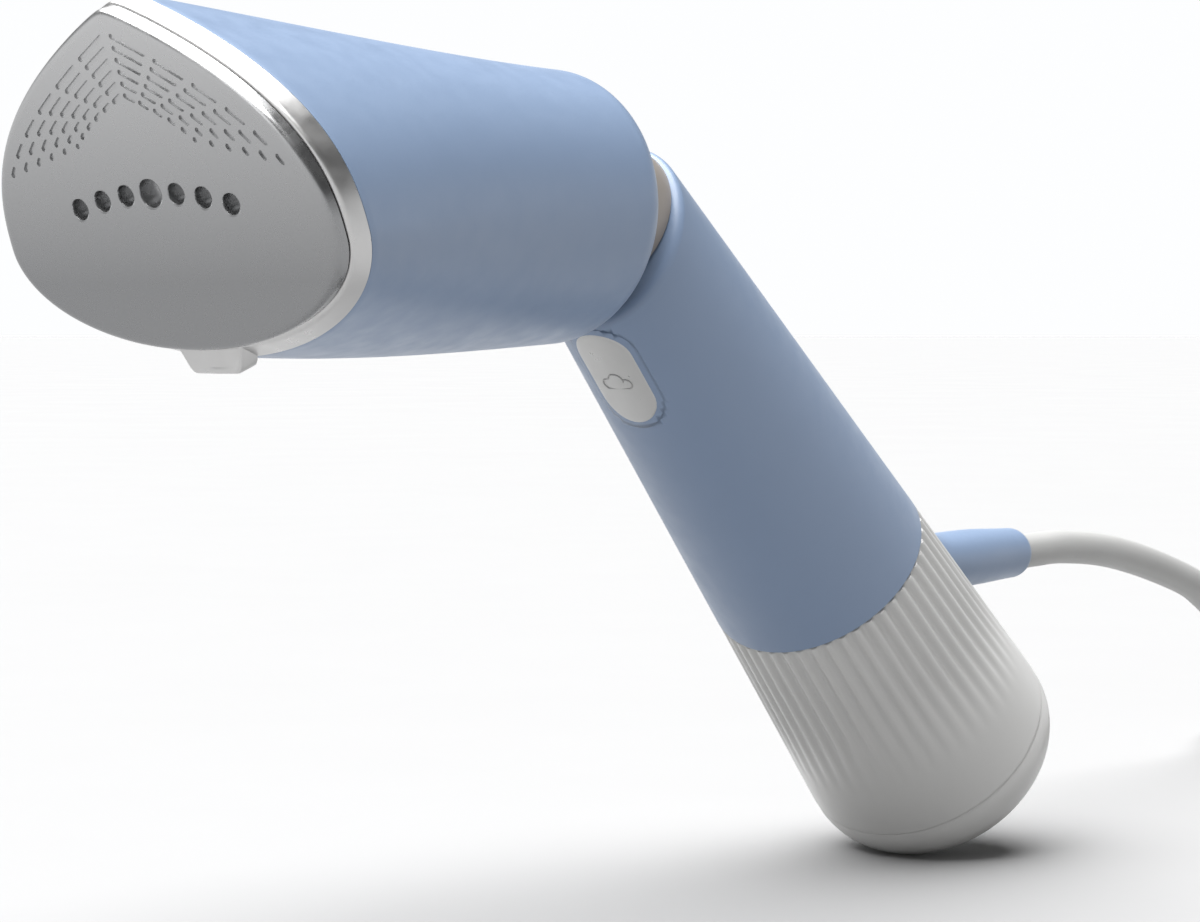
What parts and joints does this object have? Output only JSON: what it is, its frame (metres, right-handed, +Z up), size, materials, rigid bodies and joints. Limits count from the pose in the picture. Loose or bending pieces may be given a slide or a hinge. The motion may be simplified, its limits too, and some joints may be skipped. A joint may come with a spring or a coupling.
{
  "type": "handheld garment steamer",
  "caption": "Handheld garment steamer: drop-shaped steam plate on a tapered head, slanted swivel, tapered handle with trigger, fluted pull-off water tank and mains cord",
  "frame": {"origin": "centre of the appliance's footprint at the level it stands on, below the tank's foot, cord left out", "axes": "+X from the steam plate back towards the cord, +Y across the appliance, +Z up"},
  "size_m": [0.5636, 0.1156, 0.1797],
  "materials": {
    "body_shell": "fine satin moulded plastic",
    "sole_metal": "satin metallic coating",
    "band_metal": "brushed",
    "neck": "satin",
    "trigger": "satin metallic plastic",
    "bezel": "satin",
    "tank": "frosted translucent, fluted",
    "cord": "smooth flexible jacket",
    "pin_metal": "nickel plated",
    "cast_block": "as cast",
    "seal": "silicone",
    "steel": "zinc plated",
    "brass": "turned",
    "ceramic": "ceramic body",
    "hose": "silicone hose",
    "inner_plastic": "moulded",
    "winding": "enamelled copper wire",
    "board": "solder mask"
  },
  "bodies": {
    "handle": {"spring_washer": "steel", "bearing_plate": "inner_plastic", "detent_ball": "steel", "detent_spring": "steel", "handle_shell": "body_shell", "handle_chassis": "inner_plastic", "trigger_bezel": "bezel", "trigger_spring": "steel", "micro_switch": "inner_plastic", "pump_barrel": "inner_plastic", "pump_coil": "winding", "pump_grommets": "seal", "feed_hose": "hose", "suction_hose": "hose", "control_board": "board", "board_parts": "board", "handle_base": "inner_plastic", "base_screws": "steel", "air_valve": "seal", "tank_seal": "seal", "suction_tube": "hose", "suction_filter": "inner_plastic", "cord_outlet": "body_shell", "cord_clamp": "inner_plastic", "clamp_screws": "steel", "cord_boot": "body_shell", "cord_lead": "cord", "cord_coil": "cord", "cord_tail": "cord", "plug_body": "cord", "plug_pins": "pin_metal"},
    "head": {"soleplate": "sole_metal", "plate_seal": "seal", "front_band": "band_metal", "head_shell": "body_shell", "boiler_block": "cast_block", "boiler_cover": "cast_block", "cover_gasket": "seal", "heating_element": "cast_block", "thermostat": "ceramic", "thermal_fuse": "ceramic", "cover_screws": "steel", "insulating_frame": "inner_plastic", "frame_screws": "steel", "steam_inlet": "brass", "steam_hose": "hose", "swivel_neck": "neck", "neck_screws": "steel", "retaining_ring": "steel"},
    "trigger": {"steam_trigger": "trigger"},
    "tank": {"tank_shell": "tank"}
  },
  "joints": [
    {"name": "head_swivel", "type": "hinge", "parent": "handle", "child": "head", "pos_m": [-0.01762, 0, 0.14712], "axis": [0.9285, 0, -0.3714], "range_deg": [0, 180]},
    {"name": "trigger_press", "type": "slide", "parent": "handle", "child": "trigger", "axis": [0.6896, 0, 0.7242], "range_m": [0, 0.0018], "stiffness_N_per_m": 800, "springref_m": -0.001},
    {"name": "tank_release", "type": "slide", "parent": "handle", "child": "tank", "axis": [0.7242, 0, -0.6896], "range_m": [0, 0.09]}
  ]
}
